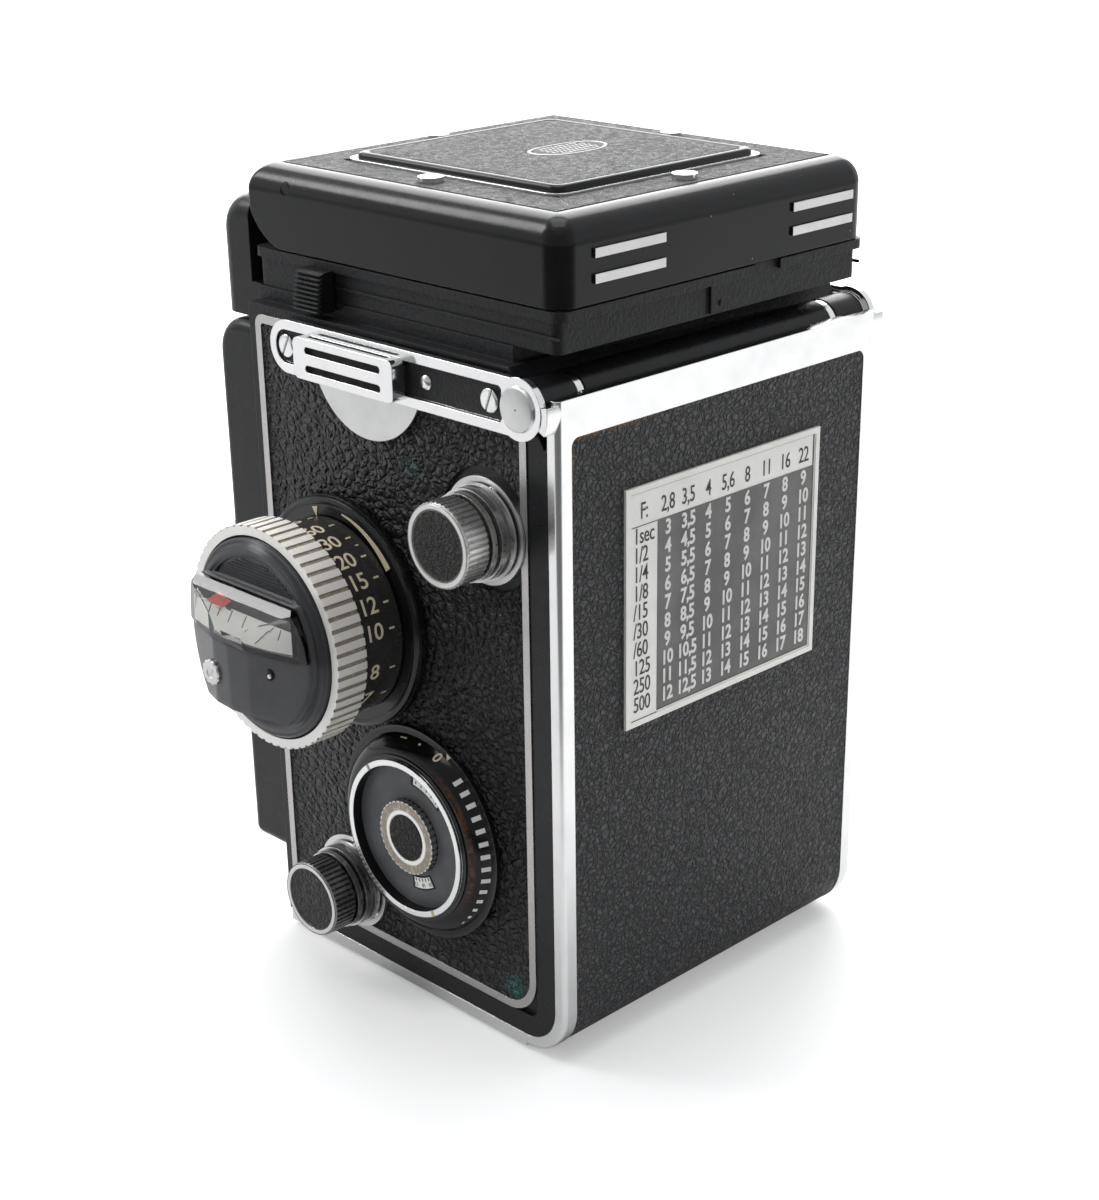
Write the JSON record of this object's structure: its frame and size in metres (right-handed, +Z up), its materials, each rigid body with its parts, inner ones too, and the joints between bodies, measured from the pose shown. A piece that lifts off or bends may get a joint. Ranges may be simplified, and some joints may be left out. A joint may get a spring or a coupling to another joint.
{
  "type": "twin lens reflex camera",
  "caption": "Box camera with a viewing lens above a taking lens, folding viewing hood, side focusing knob with a light meter, and a hinged back.",
  "frame": {"origin": "centre of the tripod socket's mouth, on the plane the feet stand on", "axes": "+Z up, the lenses look along -Y, +X is the side with the focusing knob"},
  "size_m": [0.1154, 0.0944, 0.1464],
  "materials": {
    "casting": "semi-gloss black paint on cast aluminium",
    "hood_metal": "satin black paint on pressed sheet",
    "black_metal": "black anodised metal",
    "leaf_metal": "matt black sheet",
    "carriage_metal": "dark machined",
    "bright_trim": "polished chrome",
    "satin_metal": "satin chrome",
    "grip_metal": "satin serrated",
    "door_metal": "satin chrome rim, black painted floor",
    "steel": "machined",
    "spool_metal": "black enamel",
    "leather": "pebbled black leatherette",
    "black_plastic": "moulded",
    "clear_plastic": "clear moulded",
    "red_needle": "red lacquer",
    "mirror": "front-silvered",
    "ground_glass": "finely ground",
    "lens_glass": "coated optical glass",
    "table_plate": "black enamel plate with pale engraving"
  },
  "bodies": {
    "camera_body": {"body_casting": "casting", "side_trims": "bright_trim", "side_leathers": "leather", "light_box": "casting", "strap_plates": "bright_trim", "strap_lugs": "bright_trim", "guard_plates": "satin_metal", "spool_flanges": "satin_metal", "body_screws": "bright_trim", "focus_base_ring": "black_metal", "dial_base_ring": "black_metal", "meter_core": "black_plastic", "meter_window": "clear_plastic", "crank_base": "black_metal", "viewing_mirror": "mirror", "focusing_screen": "ground_glass", "cell_housing": "casting", "cell_window": "clear_plastic", "hood_base": "casting"},
    "lens_unit": {"lens_board": "casting", "lens_carriage": "carriage_metal", "viewing_lens_mount": "bright_trim", "taking_lens_mount": "bright_trim", "lens_glasses": "lens_glass", "sync_socket": "bright_trim"},
    "focus_drive": {"focus_grip": "grip_metal", "focus_scale_ring": "black_metal", "focus_cam": "steel"},
    "aperture_control": {"aperture_wheel": "satin_metal"},
    "speed_control": {"speed_wheel": "satin_metal"},
    "release": {"release_button": "bright_trim"},
    "timer": {"timer_lever": "satin_metal"},
    "needle": {"meter_needle": "red_needle"},
    "exposure_dial": {"film_speed_dial": "black_metal"},
    "speed_setting": {"film_speed_knob": "grip_metal"},
    "upper_knob": {"upper_spool_knob": "satin_metal"},
    "lower_knob": {"lower_spool_knob": "satin_metal"},
    "take_up": {"take_up_spool": "spool_metal", "wind_spindle": "steel"},
    "roller": {"film_roller": "steel"},
    "crank": {"crank_arm": "satin_metal"},
    "crank_grip": {"crank_handle": "black_plastic"},
    "lid": {"hood_lid": "hood_metal", "lid_leather": "leather", "lid_studs": "bright_trim", "finder_trim": "bright_trim", "finder_panel": "hood_metal"},
    "leaf_left": {"hood_leaf_left": "leaf_metal"},
    "leaf_right": {"hood_leaf_right": "leaf_metal"},
    "leaf_rear": {"hood_leaf_rear": "leaf_metal"},
    "magnifier": {"magnifier_frame": "leaf_metal", "magnifier_lens": "lens_glass"},
    "hood_catch": {"hood_release": "black_metal"},
    "door": {"rear_cover": "door_metal", "base_plate": "door_metal", "rear_leather": "leather", "exposure_table": "table_plate", "pressure_plate": "black_metal", "tripod_socket": "steel"},
    "latch": {"door_latch": "satin_metal"}
  },
  "joints": [
    {"name": "focus_turn", "type": "hinge", "parent": "camera_body", "child": "focus_drive", "pos_m": [0.045, -0.01484, 0.0711], "axis": [1, 0, 0], "range_deg": [0, 270]},
    {"name": "lens_travel", "type": "slide", "parent": "camera_body", "child": "lens_unit", "axis": [0, -1, 0], "range_m": [0, 0.0075]},
    {"name": "aperture_turn", "type": "hinge", "parent": "lens_unit", "child": "aperture_control", "pos_m": [0.0245, -0.051, 0.076], "axis": [0, -1, 0], "range_deg": [-60, 60]},
    {"name": "shutter_speed_turn", "type": "hinge", "parent": "lens_unit", "child": "speed_control", "pos_m": [-0.0245, -0.051, 0.076], "axis": [0, -1, 0], "range_deg": [-75, 75]},
    {"name": "release_press", "type": "slide", "parent": "lens_unit", "child": "release", "axis": [0, 1, 0], "range_m": [0, 0.0028], "stiffness_N_per_m": 400},
    {"name": "timer_swing", "type": "hinge", "parent": "lens_unit", "child": "timer", "pos_m": [0.0245, -0.05, 0.047], "axis": [0, -1, 0], "range_deg": [-20, 20]},
    {"name": "needle_swing", "type": "hinge", "parent": "camera_body", "child": "needle", "pos_m": [0.0609, -0.01584, 0.074], "axis": [1, 0, 0], "range_deg": [0, 25], "stiffness_Nm_per_rad": 0.000002},
    {"name": "exposure_dial_turn", "type": "hinge", "parent": "camera_body", "child": "exposure_dial", "pos_m": [0.042, 0.00284, 0.0341], "axis": [1, 0, 0], "range_deg": [-140, 140]},
    {"name": "film_speed_turn", "type": "hinge", "parent": "exposure_dial", "child": "speed_setting", "pos_m": [0.044, 0.00284, 0.0341], "axis": [1, 0, 0], "range_deg": [-60, 60]},
    {"name": "upper_knob_pull", "type": "slide", "parent": "camera_body", "child": "upper_knob", "axis": [1, 0, 0], "range_m": [0, 0.004], "stiffness_N_per_m": 150},
    {"name": "lower_knob_pull", "type": "slide", "parent": "camera_body", "child": "lower_knob", "axis": [1, 0, 0], "range_m": [0, 0.004], "stiffness_N_per_m": 150},
    {"name": "crank_turn", "type": "hinge", "parent": "camera_body", "child": "crank", "pos_m": [-0.043, -0.002, 0.07], "axis": [1, 0, 0], "range_deg": [0, 270]},
    {"name": "take_up_turn", "type": "hinge", "parent": "camera_body", "child": "take_up", "pos_m": [0, 0.0213, 0.0943], "axis": [1, 0, 0], "range_deg": [0, 270]},
    {"name": "crank_grip_spin", "type": "hinge", "parent": "crank", "child": "crank_grip", "pos_m": [-0.047, -0.002, 0.045], "axis": [1, 0, 0], "continuous": true},
    {"name": "roller_spin", "type": "hinge", "parent": "camera_body", "child": "roller", "pos_m": [0, 0.028, 0.0092], "axis": [1, 0, 0], "continuous": true},
    {"name": "lid_lift", "type": "hinge", "parent": "camera_body", "child": "lid", "pos_m": [0, -0.0284, 0.1416], "axis": [1, 0, 0], "range_deg": [0, 90]},
    {"name": "left_leaf_lift", "type": "hinge", "parent": "camera_body", "child": "leaf_left", "pos_m": [0.0342, 0, 0.1298], "axis": [0, 1, 0], "range_deg": [0, 90]},
    {"name": "right_leaf_lift", "type": "hinge", "parent": "camera_body", "child": "leaf_right", "pos_m": [-0.0342, 0, 0.1298], "axis": [0, 1, 0], "range_deg": [-90, 0]},
    {"name": "rear_leaf_lift", "type": "hinge", "parent": "camera_body", "child": "leaf_rear", "pos_m": [0, 0.0336, 0.1298], "axis": [1, 0, 0], "range_deg": [-90, 0]},
    {"name": "magnifier_swing", "type": "hinge", "parent": "lid", "child": "magnifier", "pos_m": [0, 0, 0.14], "axis": [1, 0, 0], "range_deg": [-90, 0]},
    {"name": "hood_release_slide", "type": "slide", "parent": "camera_body", "child": "hood_catch", "axis": [0, 1, 0], "range_m": [0, 0.003], "stiffness_N_per_m": 150},
    {"name": "door_swing", "type": "hinge", "parent": "camera_body", "child": "door", "pos_m": [0, 0.0309, 0.1163], "axis": [1, 0, 0], "range_deg": [0, 92]},
    {"name": "latch_turn", "type": "hinge", "parent": "door", "child": "latch", "pos_m": [0, 0, 0.001], "axis": [0, 0, 1], "range_deg": [0, 90]}
  ],
  "couplings": [
    {"joint": "focus_turn", "follows": "lens_travel", "rad_per_m": 628.32},
    {"joint": "take_up_turn", "follows": "crank_turn", "ratio": 1},
    {"joint": "left_leaf_lift", "follows": "lid_lift", "ratio": 1},
    {"joint": "right_leaf_lift", "follows": "lid_lift", "ratio": -1},
    {"joint": "rear_leaf_lift", "follows": "lid_lift", "ratio": -1},
    {"joint": "magnifier_swing", "follows": "lid_lift", "ratio": -1}
  ]
}
